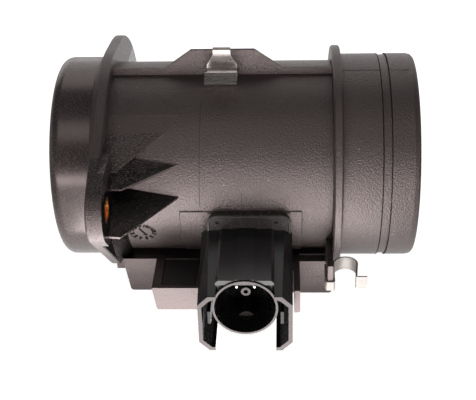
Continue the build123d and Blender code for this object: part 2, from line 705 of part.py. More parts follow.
def grid_retaining_ring():
    start = GRID_SEAT_X - GRID_THICKNESS
    face = Circle(GRID_SEAT_RADIUS) - Circle(GRID_SEAT_RADIUS - GRID_RIM)
    return along_x(face, start - RETAINER_THICKNESS, start)


def top_spring_clip():
    half = CLIP_STEEL / 2
    crown = WALL_TOP + half
    back = WALL_THICKNESS - WALL_FRONT + half
    front = -WALL_FRONT - half
    low = crown - CLIP_FRONT_LEG - CLIP_ARCH_RADIUS
    out = front - 2 * CLIP_ARCH_RADIUS
    lip = low + CLIP_ARCH_RADIUS + CLIP_RETURN
    arch = CLIP_ARCH_RADIUS * 0.99
    section = bent_strip(
        [(back, crown - CLIP_BACK_LEG), (back, crown), (front, crown), (front, low), (out, low), (out, lip),
         (out - CLIP_LIP, lip - CLIP_LIP_FALL)],
        [CLIP_BEND, CLIP_BEND, arch, arch, CLIP_FOLD],
    )
    strip = along_x(section, CLIP_X - CLIP_LIP_WIDTH / 2, CLIP_X + CLIP_LIP_WIDTH / 2)
    shoulder = crown - CLIP_SHOULDER_DROP
    edge = CLIP_LIP_WIDTH / 2
    trim = rounded_face(
        (CLIP_STRAP_WIDTH / 2, WALL_TOP + edge), (CLIP_STRAP_WIDTH / 2, shoulder),
        (CLIP_BODY_WIDTH / 2, shoulder - CLIP_SHOULDER_HEIGHT), (CLIP_BODY_WIDTH / 2, low - edge),
        (edge, low - edge), (edge, WALL_TOP + edge)
    )
    cut = along_y(trim, front - CLIP_ARCH_RADIUS, back + edge)
    return strip - [Pos(CLIP_X, 0, 0) * cut, Pos(CLIP_X, 0, 0) * mirror(cut, Plane.YZ)]


def lower_spring_clip():
    half = CLIP_STEEL / 2
    left = TUBE_LENGTH - FIN_THICKNESS - half
    right = TUBE_LENGTH + half
    far = right + 2 * LOWER_ARCH_RADIUS
    end = LOWER_ARCH_Y - LOWER_ARCH_RADIUS - LOWER_CLIP_RETURN
    arch = LOWER_ARCH_RADIUS * 0.99
    foot = far - LOWER_CLIP_SLANT
    section = bent_strip(
        [(left, LOWER_NOSE_Y + LOWER_CLIP_LEG), (left, LOWER_NOSE_Y), (right, LOWER_NOSE_Y),
         (right, LOWER_ARCH_Y), (far, LOWER_ARCH_Y), (foot, end), (foot + LOWER_CLIP_LIP, end)],
        [CLIP_BEND, CLIP_BEND, arch, arch * 0.9, CLIP_BEND],
    )
    bottom = -LOWER_CLIP_DROP - LOWER_CLIP_HEIGHT
    strip = extrude(Plane.XY.offset(bottom) * section, LOWER_CLIP_HEIGHT)
    return strip - span_box((left - half, right + half),
                            (LOWER_NOSE_Y - half, LOWER_NOSE_Y + LOWER_NOSE_LENGTH),
                            (bottom, -LOWER_CLIP_DROP - LOWER_NOSE_HEIGHT))


NODES = (
    tube_housing, flange_bushings, connector_housing, terminal_pins, module_seal, bypass_body, bypass_cover,
    sensor_board, hot_film_element, air_temperature_probe, electronics_lid, circuit_board, inlet_flow_grid,
    grid_retaining_ring, top_spring_clip, lower_spring_clip,
)

os.makedirs("parts", exist_ok=True)
for node in NODES:
    export_step(node(), f"parts/{node.__name__}.step")
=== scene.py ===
"""Looks of a mass airflow sensor: finishes for the moulded duct, its connector, its clips and its inside, the
small moulded marks, and a plain pale stage. Metres, in the part's own frame: the duct lies along X, the
connector points to -Y and +Z is up."""
import math
from typing import NamedTuple

import bmesh
import bpy
from bpy.props import FloatProperty, FloatVectorProperty, IntProperty, PointerProperty
from mathutils import Matrix, Vector


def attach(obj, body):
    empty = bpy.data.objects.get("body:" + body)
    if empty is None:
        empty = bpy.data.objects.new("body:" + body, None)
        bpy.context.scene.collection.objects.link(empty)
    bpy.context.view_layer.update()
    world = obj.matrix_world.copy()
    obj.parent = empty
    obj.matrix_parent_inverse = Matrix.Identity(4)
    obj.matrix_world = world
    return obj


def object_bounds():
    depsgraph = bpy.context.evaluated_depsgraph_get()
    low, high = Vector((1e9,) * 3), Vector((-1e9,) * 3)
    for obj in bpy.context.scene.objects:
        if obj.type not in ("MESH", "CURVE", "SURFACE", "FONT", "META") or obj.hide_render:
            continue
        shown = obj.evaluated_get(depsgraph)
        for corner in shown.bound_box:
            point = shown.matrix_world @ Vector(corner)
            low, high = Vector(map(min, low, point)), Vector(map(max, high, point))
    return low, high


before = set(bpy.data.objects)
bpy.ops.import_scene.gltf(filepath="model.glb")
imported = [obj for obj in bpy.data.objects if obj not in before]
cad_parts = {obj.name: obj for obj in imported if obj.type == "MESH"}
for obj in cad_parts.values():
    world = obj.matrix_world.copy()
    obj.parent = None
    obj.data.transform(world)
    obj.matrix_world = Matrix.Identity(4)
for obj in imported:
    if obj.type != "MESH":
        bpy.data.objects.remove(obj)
CAD_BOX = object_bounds()

bl_info = {
    "name": "Mass airflow sensor finishes",
    "version": (1, 0, 0),
    "blender": (4, 5, 0),
    "location": "View3D > Sidebar > Airflow",
    "description": "Finishes, moulded marks and stage for a mass airflow sensor",
    "category": "Object",
}

MM = 0.001
BODY = "root"

# Places and sizes on the duct
TUBE_RADIUS = 41.3 * MM
OUTLET_RADIUS = 44.0 * MM
INLET_SMOOTH_X = -2.0 * MM
COLLAR_X = (96.2 * MM, 99.9 * MM)
GROOVE_X = (115.9 * MM, 119.5 * MM)
# Bounds of the painted shade on rib, box and flange faces; the upper rib takes only a share of it
RIB_CLEARANCE = 0.3 * MM
RIB_HIGHEST = 28.0 * MM
RIB_X = (0.0, 97.0 * MM)
UPPER_RIB_Z = (16.0 * MM, 19.0 * MM)
UPPER_RIB_SHARE = 0.5
DIAL_CENTRE_X = 16.4 * MM
DIAL_ANGLE = math.radians(-23.4)
DIAL_FLOOR = TUBE_RADIUS - 0.5 * MM

# Lines on the duct: places along X, and angles in degrees upwards from -Y
SIDE_LINE_X = (42.0 * MM, 41.3 * MM)
SIDE_LINE_ANGLES = (62.0, -2.0)
PLATE_LINE_X = 58.6 * MM
PLATE_LINE_ANGLES = (7.0, -3.6)
OUTLET_LINE_X = ((100.1 * MM, 115.6 * MM), (119.8 * MM, 128.0 * MM))
OUTLET_LINE_ANGLES = (81.5, 261.5)
# The patch ends take dark beads of painted shade, like the collar and groove
PATCH_ENDS = (32.9 * MM, 83.3 * MM)
PATCH_ANGLES = (-5.0, -25.0)
PATCH_LINE_LIFT = 0.1 * MM
LINE_SUNK = 0.45
LINE_SIDES = 8

# Places and sizes on the connector
PLATE_FRONT_Y = -45.0 * MM
PLATE_MARGIN = 0.5 * MM
PLATE_CENTRE_X = 61.5 * MM
PLATE_HALF_WIDTH = 17.3 * MM
PLATE_TOP = -3.3 * MM
PLATE_CORNER = 4.5 * MM
BEAD_INSET = 0.75 * MM
BEAD_FOOT = -17.2 * MM
BEAD_SUNK = 0.35
BEAD_SIDES = 12
CORNER_STEPS = 10
SOCKET_X = 60.6 * MM
SOCKET_Z = -24.3 * MM
SOCKET_RADIUS = 12.1 * MM
# Depths past which the painted highlights at the mouth and on the post lie
POST_DEPTH = -64.0 * MM
RIM_DEPTH = -79.0 * MM
MOUTH_Y = -79.3 * MM
HOOD_HALF_WIDTH = 11.4 * MM
HOOD_TOP = -11.6 * MM
BAND_HALF_WIDTH = 3.65 * MM
WING_HALF_WIDTH = 18.7 * MM
WING_TOP = -18.3 * MM
WING_CHAMFER = 4.2 * MM
WING_FRONT_Y = -80.0 * MM

# Pointer and numbers of the dial
ARROW_HALF_WIDTH = 0.36 * MM
ARROW_REACH = 3.0 * MM
ARROW_HEAD = 1.1 * MM
FONT_SCALE = 1.4
NUMERAL_STEPS = 2
WELD = 0.001 * MM

# Shared values of the finishes
SPECK_SIZE = (0.05, 0.13)
SPECK_CHOICE = (0.9, 1.0)
SPECK_COLOUR = (0.5, 0.48, 0.46)
STAIN_RANGE = (0.35, 0.7)
GRAIN_RANGE = (0.3, 0.7)
TONE_RANGE = (0.2, 0.8)
PLASTIC_GLOSS = (-0.05, 0.06)
METAL_GLOSS = (-0.06, 0.08)
# Facing range of the painted highlights at the socket's mouth
FORWARD_NORMAL = (-0.95, -0.6)
# Facing range of the faces that take painted rib shade
RIB_NORMAL = (0.5, 0.8)
INLET_GRAIN = 0.1
BEVEL_SAMPLES = 6
ROLLED_STRIP = (180.0, 900.0, 1400.0)
TURNED_RING = (2600.0, 300.0, 300.0)
DRAWN_PIN = (900.0, 200.0, 900.0)

# Colour sockets of the Mix node, by index because their names repeat
MIX_COLOURS = (6, 7)
MIX_RESULT = 2

# Stage. The mirrored shares run from a near to a far place, or from the horizon up, with a share at each end
FLOOR_Z = CAD_BOX[0].z
FLOOR_REACH = 6.0
FLOOR_MIRRORED = (0.06, 0.2, 1.0, 0.05)
SKY_MIRRORED = (0.0, 0.2, 0.6, 0.06)
STAGE_X = 60.0 * MM
MIDDLE = (STAGE_X, 0.0, 0.0)
LAMP_COLOUR = (1.0, 0.96, 0.95)
LAMPS = (  # name, place, what it looks at, width and depth, the look's power, share of that power
    ("table_light", (0.05, -0.18, FLOOR_Z + 0.4 * MM), (0.05, -0.18, 1.0), (0.14, 0.25), "bounce", 1.0),
    ("front_light", (0.06, -1.0, 0.025), MIDDLE, (1.8, 0.15), "key", 1.0),
    ("high_light", (0.06, -0.6, 0.9), MIDDLE, (1.0, 0.4), "fill", 1.0),
    ("top_light", (0.06, 0.7, 1.0), MIDDLE, (1.0, 0.6), "fill", 1.4),
    ("back_light", (0.06, 1.0, 0.35), MIDDLE, (2.0, 0.8), "back", 1.0),
    ("inlet_light", (-1.0, 0.1, 0.1), MIDDLE, (1.0, 0.6), "side", 1.0),
    ("outlet_light", (1.1, 0.1, 0.1), MIDDLE, (1.0, 0.6), "side", 1.0),
)
SENSOR_WIDTH = 36.0
CLIP_RANGE = (0.01, 50.0)


class Finish(NamedTuple):
    """Skin of a moulded piece, with the width and depth of its grain, the rounding of its edges and how far
    its tone spreads."""

    colour: tuple
    roughness: float
    grain: float
    depth: float
    edge: float = 0.0
    spread: float = 0.35
    specks: float = 0.0
    level: float = 0.5
    tint: tuple = (1.0, 1.0, 1.0)


LID_FINISH = Finish((0.012, 0.012, 0.012), 0.42, 0.9 * MM, 0.02 * MM, 0.25 * MM)
GRID_FINISH = Finish((0.03, 0.03, 0.031), 0.4, 1.2 * MM, 0.015 * MM, 0.15 * MM)
# Painted shade: near-black, nearly unreflecting plastic for the dial's numbers and pointer and for the dark
# lines at collar, groove and patch, standing in for the shade of relief and corners
SHADE_MARK_FINISH = Finish((0.01, 0.009, 0.009), 0.8, 0.6 * MM, 0.01 * MM, level=0.05)
INSIDE_FINISHES = (  # material, nodes, finish
    ("finger_plastic", ("bypass_body", "bypass_cover"),
     Finish((0.035, 0.035, 0.037), 0.4, 1.0 * MM, 0.02 * MM, 0.25 * MM)),
    ("strip_ceramic", ("sensor_board",),
     Finish((0.8, 0.78, 0.72), 0.55, 0.4 * MM, 0.01 * MM, 0.05 * MM, spread=0.06)),
    ("film_glaze", ("hot_film_element",), Finish((0.1, 0.14, 0.24), 0.15, 0.3 * MM, 0.004 * MM, 0.03 * MM)),
    ("bead_lacquer", ("air_temperature_probe",),
     Finish((0.09, 0.04, 0.02), 0.2, 0.6 * MM, 0.02 * MM, 0.05 * MM)),
    ("seal_rubber", ("module_seal",), Finish((0.015, 0.015, 0.016), 0.7, 0.5 * MM, 0.03 * MM, 0.1 * MM)),
    ("board_lacquer", ("circuit_board",), Finish((0.02, 0.13, 0.05), 0.35, 0.8 * MM, 0.02 * MM, 0.05 * MM)),
)


def colour_prop(name, description, default):
    return FloatVectorProperty(
        name=name, description=description, default=default, subtype="COLOR", size=3, min=0.0, max=1.0
    )


def share_prop(name, description, default):
    return FloatProperty(
        name=name, description=description, default=default, subtype="FACTOR", min=0.0, max=1.0
    )


def length_prop(name, description, default):
    return FloatProperty(
        name=name, description=description, default=default, unit="LENGTH", min=0.0, soft_max=0.1, precision=6
    )


def angle_prop(name, description, default):
    return FloatProperty(name=name, description=description, default=default, subtype="ANGLE")


def power_prop(name, description, default):
    return FloatProperty(name=name, description=description, default=default, unit="POWER")


class DuctLook(bpy.types.PropertyGroup):
    colour: colour_prop("Colour", "Colour of the duct's plastic", (0.048, 0.039, 0.038))
    roughness: share_prop("Roughness", "Roughness of the duct's skin", 0.42)
    grain: length_prop("Grain size", "Width of one bump of the moulded grain", 0.65 * MM)
    grain_depth: length_prop("Grain depth", "Depth of the moulded grain", 0.25 * MM)
    edge: length_prop("Edge rounding", "Rounding of the moulded edges", 0.25 * MM)
    specks: share_prop("Specks", "Strength of the pale specks in the skin", 0.5)
    spread: share_prop("Tone spread", "How far the skin's tone goes up and down", 0.3)
    level: share_prop("Gloss level", "Strength of the skin's reflections", 1.0)
    sheen: colour_prop("Sheen", "Tint of the skin's reflections", (1.0, 0.85, 0.84))
    # Painted shade: near-black colour on the faces of ribs, boxes and flange that look up or along +X, where
    # little light falls
    rib_shade: colour_prop("Rib faces", "Colour of the dark faces of ribs and boxes", (0.004, 0.0036, 0.0036))
    rib_smooth: share_prop("Rib smoothness", "How much less rough the faces of ribs and boxes are", 0.3)
    smooth: share_prop("Inlet smoothness", "How much less rough the inlet end is", 0.16)


class ConnectorLook(bpy.types.PropertyGroup):
    colour: colour_prop("Colour", "Colour of the connector's plastic", (0.008, 0.008, 0.0085))
    roughness: share_prop("Roughness", "Roughness of the connector's skin", 0.24)
    grain: length_prop("Grain size", "Width of one wave of the skin", 2.5 * MM)
    grain_depth: length_prop("Grain depth", "Depth of the skin's waves", 0.001 * MM)
    edge: length_prop("Edge rounding", "Rounding of the connector's edges", 0.2 * MM)
    spread: share_prop("Tone spread", "How far the skin's tone goes up and down", 0.15)
    level: share_prop("Gloss level", "Strength of the skin's reflections", 0.3)
    # Painted highlight: pale colour on the faces at the socket's mouth and inside it that look along -Y, where
    # light glints
    rim: colour_prop("Rubbed rim", "Colour of the rubbed faces at the socket's mouth", (0.08, 0.069, 0.068))
    # Painted light: paler colour over the root plate, lifting the shade where the plate meets the tube
    root: colour_prop("Root plate", "Colour of the root plate's skin", (0.05, 0.043, 0.042))
    rise: length_prop("Root rise", "How much higher the hood stands at its root", 2.0 * MM)


class MetalLook(bpy.types.PropertyGroup):
    steel: colour_prop("Spring steel", "Colour of the upper spring clip", (0.56, 0.52, 0.5))
    zinc: colour_prop("Dull steel", "Colour of the lower clip's dull coat", (0.3, 0.28, 0.265))
    brass: colour_prop("Brass", "Colour of the flange bushings", (0.92, 0.5, 0.17))
    tin: colour_prop("Contacts", "Colour of the contact pins", (0.82, 0.8, 0.76))


class MarkLook(bpy.types.PropertyGroup):
    dial_radius: length_prop("Dial radius", "Radius of the numbers on the moulded dial", 4.65 * MM)
    numeral: length_prop("Numeral height", "Height of the numbers on the dial", 1.8 * MM)
    bold: length_prop("Numeral weight", "How much the numbers are thickened", 0.15 * MM)
    relief: length_prop("Relief", "How far the moulded marks stand out", 0.2 * MM)
    count: IntProperty(name="Numbers", description="How many numbers the dial has", default=12, min=2, max=24)
    turn: angle_prop("Turn", "Angle of the first number, clockwise from the top", math.radians(108.0))
    arrow: angle_prop("Arrow", "Angle of the arrow, clockwise from the top", math.radians(152.0))
    # Painted shade: radius of the dark beads along the corners at collar, groove and patch
    seam: length_prop("Seam radius", "Radius of the dark lines at collar, groove and patch", 0.2 * MM)
    line: length_prop("Line radius", "Radius of the beads along the mould's joints", 0.16 * MM)
    bead: length_prop("Plate bead radius", "Radius of the bead around the connector's root plate", 0.4 * MM)


class StageLook(bpy.types.PropertyGroup):
    floor: colour_prop("Floor", "Colour of the floor", (0.93, 0.93, 0.925))
    lens: FloatProperty(name="Lens", description="Focal length of the camera", default=79.494, unit="CAMERA")
    camera: FloatVectorProperty(
        name="Camera", description="Place of the camera", default=(0.0761, -0.4057, 0.2297),
        subtype="TRANSLATION"
    )
    pitch: angle_prop("Pitch", "How far the camera looks down", math.radians(32.0))
    yaw: angle_prop("Yaw", "How far the camera turns", -0.044)
    roll: angle_prop("Roll", "Tilt of the picture", -0.003)
    bounce: power_prop("Table light", "Power of the light table in front of the part", 0.56)
    key: power_prop("Front light", "Power of the low front light", 4.8)
    fill: power_prop("Top light", "Power of the soft lights above", 1.3)
    back: power_prop("Back light", "Power of the light behind the part", 4.5)
    side: power_prop("Side lights", "Power of each side light", 0.2)
    glow: share_prop("Paper glow", "Brightness of the paper that the picture sees by itself", 0.92)
    ambient: share_prop("Ambient", "Strength of the even light from all round", 0.015)


def link_nodes(tree, chain):
    for source, target in chain:
        tree.links.new(source, target)


def node_of(tree, kind):
    return next(node for node in tree.nodes if node.type == kind)


def math_node(tree, operation, *values):
    node = tree.nodes.new("ShaderNodeMath")
    node.operation = operation
    for socket, value in zip(node.inputs, values):
        if isinstance(value, bpy.types.NodeSocket):
            tree.links.new(value, socket)
        else:
            socket.default_value = value
    return node.outputs[0]


def product(tree, *values):
    result = values[0]
    for value in values[1:]:
        result = math_node(tree, "MULTIPLY", result, value)
    return result


def separated(tree, vector):
    node = tree.nodes.new("ShaderNodeSeparateXYZ")
    tree.links.new(vector, node.inputs[0])
    return node.outputs


def surface_normal(tree):
    return separated(tree, tree.nodes.new("ShaderNodeNewGeometry").outputs["True Normal"])


def noise_node(tree, vector, scale, detail, roughness):
    node = tree.nodes.new("ShaderNodeTexNoise")
    node.inputs["Detail"].default_value = detail
    node.inputs["Roughness"].default_value = roughness
    tree.links.new(vector, node.inputs["Vector"])
    if isinstance(scale, bpy.types.NodeSocket):
        tree.links.new(scale, node.inputs["Scale"])
    else:
        node.inputs["Scale"].default_value = scale
    return node.outputs["Fac"]


def ramp_value(tree, value, low, high, to_low=0.0, to_high=1.0, kind="SMOOTHSTEP"):
    node = tree.nodes.new("ShaderNodeMapRange")
    node.interpolation_type = kind
    numbers = {"From Min": low, "From Max": high, "To Min": to_low, "To Max": to_high}
    for name, number in numbers.items():
        node.inputs[name].default_value = number
    tree.links.new(value, node.inputs["Value"])
    return node.outputs["Result"]


def mixed_colour(tree, mask, *colours):
    node = tree.nodes.new("ShaderNodeMix")
    node.data_type = "RGBA"
    tree.links.new(mask, node.inputs["Factor"])
    for index, value in zip(MIX_COLOURS, colours):
        if isinstance(value, bpy.types.NodeSocket):
            tree.links.new(value, node.inputs[index])
        else:
            node.inputs[index].default_value = (*value, 1.0)
    return node.outputs[MIX_RESULT]


def shader_group(name, inputs, outputs):
    """New shader group with a Vector, float or vector inputs with their defaults, and float outputs."""
    tree = bpy.data.node_groups.new(name, "ShaderNodeTree")
    tree.interface.new_socket("Vector", in_out="INPUT", socket_type="NodeSocketVector")
    for socket, default in inputs.items():
        kind = "NodeSocketVector" if isinstance(default, tuple) else "NodeSocketFloat"
        tree.interface.new_socket(socket, in_out="INPUT", socket_type=kind).default_value = default
    for socket in outputs:
        tree.interface.new_socket(socket, in_out="OUTPUT", socket_type="NodeSocketFloat")
    return tree, tree.nodes.new("NodeGroupInput").outputs, tree.nodes.new("NodeGroupOutput").inputs


def moulded_grain_group():
    """Fine moulded grain: a height, a tone that follows it and rare pale specks."""
    name = "moulded_grain"
    if name in bpy.data.node_groups:
        return bpy.data.node_groups[name]
    tree, given, made = shader_group(
        name, {"Grains per metre": 1500.0, "Clouds per metre": 45.0, "Specks per metre": 330.0},
        ("Height", "Tone", "Speck"),
    )
    fine = noise_node(tree, given["Vector"], given["Grains per metre"], detail=1.0, roughness=0.5)
    broad = noise_node(tree, given["Vector"], given["Clouds per metre"], detail=4.0, roughness=0.62)
    cells = tree.nodes.new("ShaderNodeTexVoronoi")
    chosen = tree.nodes.new("ShaderNodeSeparateColor")
    link_nodes(tree, [
        (given["Vector"], cells.inputs["Vector"]), (given["Specks per metre"], cells.inputs["Scale"]),
        (cells.outputs["Color"], chosen.inputs[0]),
    ])
    dots = ramp_value(tree, cells.outputs["Distance"], *SPECK_SIZE, 1.0, 0.0)
    rare = ramp_value(tree, chosen.outputs[0], *SPECK_CHOICE)
    clouds = product(tree, broad, 0.5)
    tone = math_node(tree, "MULTIPLY_ADD", ramp_value(tree, fine, *GRAIN_RANGE), 0.5, clouds)
    link_nodes(tree, [(fine, made["Height"]), (tone, made["Tone"]), (product(tree, dots, rare), made["Speck"])])
    return tree


def rolled_marks_group():
    """Drawn marks of worked metal: a height drawn out by the stretch given, and a tone of faint stains."""
    name = "rolled_marks"
    if name in bpy.data.node_groups:
        return bpy.data.node_groups[name]
    tree, given, made = shader_group(
        name, {"Stretch": (1.0, 1.0, 1.0), "Stains per metre": 160.0}, ("Height", "Tone")
    )
    scaled = tree.nodes.new("ShaderNodeVectorMath")
    scaled.operation = "MULTIPLY"
    link_nodes(tree, [(given["Vector"], scaled.inputs[0]), (given["Stretch"], scaled.inputs[1])])
    marks = noise_node(tree, scaled.outputs[0], 1.0, detail=4.0, roughness=0.65)
    stains = noise_node(tree, given["Vector"], given["Stains per metre"], detail=3.0, roughness=0.6)
    link_nodes(tree, [(marks, made["Height"]), (ramp_value(tree, stains, *STAIN_RANGE), made["Tone"])])
    return tree


def painted_light_group():
    """Masks of painted light on the connector: painted highlights on the rims at its mouth and on what stands
    inside the socket, both where they look along -Y, and painted light over the root plate."""
    name = "worn_rims"
    if name in bpy.data.node_groups:
        return bpy.data.node_groups[name]
    tree, given, made = shader_group(
        name, {"Rim depth": RIM_DEPTH, "Post depth": POST_DEPTH, "Root depth": PLATE_FRONT_Y - PLATE_MARGIN},
        ("Rim", "Post", "Root"),
    )
    place = separated(tree, given["Vector"])
    forward = ramp_value(tree, surface_normal(tree)["Y"], *FORWARD_NORMAL, 1.0, 0.0)
    x = math_node(tree, "SUBTRACT", place["X"], SOCKET_X)
    z = math_node(tree, "SUBTRACT", place["Z"], SOCKET_Z)
    squares = math_node(tree, "ADD", product(tree, x, x), product(tree, z, z))
    inside = math_node(tree, "LESS_THAN", squares, SOCKET_RADIUS ** 2)
    past_rim = math_node(tree, "LESS_THAN", place["Y"], given["Rim depth"])
    past_post = math_node(tree, "LESS_THAN", place["Y"], given["Post depth"])
    link_nodes(tree, [
        (product(tree, past_rim, forward), made["Rim"]),
        (product(tree, past_post, forward, inside), made["Post"]),
        (math_node(tree, "GREATER_THAN", place["Y"], given["Root depth"]), made["Root"]),
    ])
    return tree


def rib_shade_mask_group():
    """Mask of painted shade: the faces of ribs, boxes and flange that stand off the tube and look up or along
    +X, where little light falls; the upper rib takes only a share of it.
    """
    name = "rib_faces"
    if name in bpy.data.node_groups:
        return bpy.data.node_groups[name]
    tree, given, made = shader_group(
        name, {"Tube radius": TUBE_RADIUS, "Highest": RIB_HIGHEST, "First X": RIB_X[0], "Last X": RIB_X[1]},
        ("Rib",),
    )
    facing, place = surface_normal(tree), separated(tree, given["Vector"])
    x, y, z = place["X"], place["Y"], place["Z"]
    upward = math_node(tree, "MAXIMUM", facing["Z"], facing["X"])
    reach = math_node(tree, "SQRT", math_node(tree, "ADD", product(tree, y, y), product(tree, z, z)))
    height = math_node(tree, "SUBTRACT", reach, given["Tube radius"])
    mask = product(
        tree,
        ramp_value(tree, upward, *RIB_NORMAL),
        math_node(tree, "GREATER_THAN", height, RIB_CLEARANCE),
        ramp_value(tree, z, *UPPER_RIB_Z, 1.0, UPPER_RIB_SHARE),
        math_node(tree, "LESS_THAN", z, given["Highest"]),
        math_node(tree, "LESS_THAN", x, given["Last X"]),
        math_node(tree, "GREATER_THAN", x, given["First X"]),
    )
    tree.links.new(mask, made["Rib"])
    return tree


def new_material(name):
    material = bpy.data.materials.new(name)
    material.use_nodes = True
    tree = material.node_tree
    place = tree.nodes.new("ShaderNodeTexCoord").outputs["Object"]
    return material, tree, node_of(tree, "BSDF_PRINCIPLED"), place


def placed_group(tree, group, vector, **values):
    node = tree.nodes.new("ShaderNodeGroup")
    node.node_tree = group
    tree.links.new(vector, node.inputs["Vector"])
    set_sockets(node, **values)
    return node.outputs


def set_sockets(node, **values):
    for name, value in values.items():
        node.inputs[name.replace("_", " ")].default_value = value


def bump_into(tree, shader, height, depth, edge=0.0):
    bump = tree.nodes.new("ShaderNodeBump")
    set_sockets(bump, Strength=1.0, Distance=depth)
    link_nodes(tree, [(height, bump.inputs["Height"]), (bump.outputs[0], shader.inputs["Normal"])])
    if edge:
        bevel = tree.nodes.new("ShaderNodeBevel")
        bevel.samples = BEVEL_SAMPLES
        set_sockets(bevel, Radius=edge)
        tree.links.new(bevel.outputs[0], bump.inputs["Normal"])


def plastic(name, finish, rim=None, root=None, rib_shade=None, rib_smooth=0.0, inlet_smooth=0.0):
    """Moulded plastic with grain, uneven tone and specks. A rim colour paints highlights on the faces at the
    socket's mouth and on what stands inside it, a root colour paints light over the root plate, a rib shade
    colour paints shade on the faces of ribs and boxes, which are also made smoother, and the inlet end can be
    smoother than the rest."""
    material, tree, shader, place = new_material(name)
    marks = placed_group(tree, moulded_grain_group(), place, Grains_per_metre=1.0 / finish.grain)
    dark = tuple(c * (1.0 - finish.spread) for c in finish.colour)
    light = tuple(c * (1.0 + finish.spread) for c in finish.colour)
    skin, height = mixed_colour(tree, marks["Tone"], dark, light), marks["Height"]
    rough = ramp_value(tree, marks["Tone"], *TONE_RANGE, *(finish.roughness + part for part in PLASTIC_GLOSS))
    if finish.specks:
        skin = mixed_colour(tree, product(tree, marks["Speck"], finish.specks), skin, SPECK_COLOUR)
    # Painted highlights at the socket's mouth and inside it, and painted light over the root plate
    if rim is not None:
        light_masks = placed_group(tree, painted_light_group(), place)
        for mask, colour in (("Rim", rim), ("Post", rim), ("Root", root)):
            skin = mixed_colour(tree, light_masks[mask], skin, colour)
    # Painted shade on the up-facing faces of ribs, boxes and flange, which are also made less rough
    if rib_shade is not None:
        ribs = placed_group(tree, rib_shade_mask_group(), place)["Rib"]
        skin = mixed_colour(tree, ribs, skin, rib_shade)
        rough = math_node(tree, "SUBTRACT", rough, product(tree, ribs, rib_smooth))
    if inlet_smooth:
        grained = ramp_value(tree, separated(tree, place)["X"], INLET_SMOOTH_X - MM, INLET_SMOOTH_X)
        gloss = math_node(tree, "MULTIPLY_ADD", grained, -inlet_smooth, inlet_smooth)
        rough = math_node(tree, "SUBTRACT", rough, gloss)
        height = product(tree, height, ramp_value(tree, grained, 0.0, 1.0, INLET_GRAIN, 1.0))
    link_nodes(tree, [(skin, shader.inputs["Base Color"]), (rough, shader.inputs["Roughness"])])
    set_sockets(shader, Specular_Tint=(*finish.tint, 1.0), Specular_IOR_Level=finish.level)
    bump_into(tree, shader, height, finish.depth, finish.edge)
    return material


def metal(name, colour, stain, roughness, stretch, depth, metallic=1.0):
    """Rolled, turned or drawn metal with its marks, and stains that take the colour down to a share of it."""
    material, tree, shader, place = new_material(name)
    marks = placed_group(tree, rolled_marks_group(), place, Stretch=stretch)
    skin = mixed_colour(tree, marks["Tone"], colour, tuple(c * stain for c in colour))
    rough = ramp_value(tree, marks["Height"], *GRAIN_RANGE, *(roughness + part for part in METAL_GLOSS))
    link_nodes(tree, [(skin, shader.inputs["Base Color"]), (rough, shader.inputs["Roughness"])])
    set_sockets(shader, Metallic=metallic)
    bump_into(tree, shader, marks["Height"], depth)
    return material


def seen_rays(tree, share):
    """Mask of the rays that show the backdrop: those of the camera, and a share of mirrored and clear ones."""
    path = tree.nodes.new("ShaderNodeLightPath").outputs
    mirrored = math_node(tree, "MAXIMUM", path["Is Glossy Ray"], path["Is Transmission Ray"])
    return math_node(tree, "MAXIMUM", path["Is Camera Ray"], product(tree, mirrored, share))


def dress(material, *nodes):
    """Give CAD nodes a material in place of the one they were packed with."""
    for name in nodes:
        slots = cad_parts[name].data.materials
        slots.clear()
        slots.append(material)


def named_material(name):
    material = bpy.data.materials.get(name)
    if material is None:
        raise RuntimeError(f"{name} is made by an operator that has not run yet")
    return material


def add_piece(name, mesh, material):
    """Link a finished mesh as a piece that rides on the part's one body."""
    piece = bpy.data.objects.new(name, mesh)
    bpy.context.scene.collection.objects.link(piece)
    mesh.materials.clear()
    mesh.materials.append(material)
    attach(piece, BODY)
    return piece


def outward_mesh(name, shape):
    """Mesh of a finished shape, with its faces turned outwards."""
    bmesh.ops.recalc_face_normals(shape, faces=shape.faces)
    mesh = bpy.data.meshes.new(name)
    shape.to_mesh(mesh)
    shape.free()
    return mesh


def evaluated_mesh(holder):
    """Plain mesh of what an object shows, without the object."""
    bpy.context.view_layer.update()
    return bpy.data.meshes.new_from_object(holder.evaluated_get(bpy.context.evaluated_depsgraph_get()))


def dial_matrix():
    """Frame on the dial's floor: x along the duct, y up the tube, z outwards."""
    outward = Vector((0.0, -math.cos(DIAL_ANGLE), math.sin(DIAL_ANGLE)))
    across = Vector((1.0, 0.0, 0.0))
    upward = outward.cross(across)
    place = Matrix((across, upward, outward)).transposed().to_4x4()
    place.translation = outward * DIAL_FLOOR + Vector((DIAL_CENTRE_X, 0.0, 0.0))
    return place


def numeral_mesh(text, height, bold, relief):
    """Raised numeral, centred on the origin and standing on the XY plane."""
    curve = bpy.data.curves.new("numeral", "FONT")
    curve.body = text
    curve.align_x = "CENTER"
    curve.align_y = "CENTER"
    curve.size = height * FONT_SCALE
    curve.offset = bold
    curve.extrude = relief / 2
    curve.resolution_u = NUMERAL_STEPS
    holder = bpy.data.objects.new("numeral", curve)
    bpy.context.scene.collection.objects.link(holder)
    mesh = evaluated_mesh(holder)
    bpy.data.objects.remove(holder)
    bpy.data.curves.remove(curve)
    mesh.transform(Matrix.Translation((0.0, 0.0, relief / 2)))
    return mesh


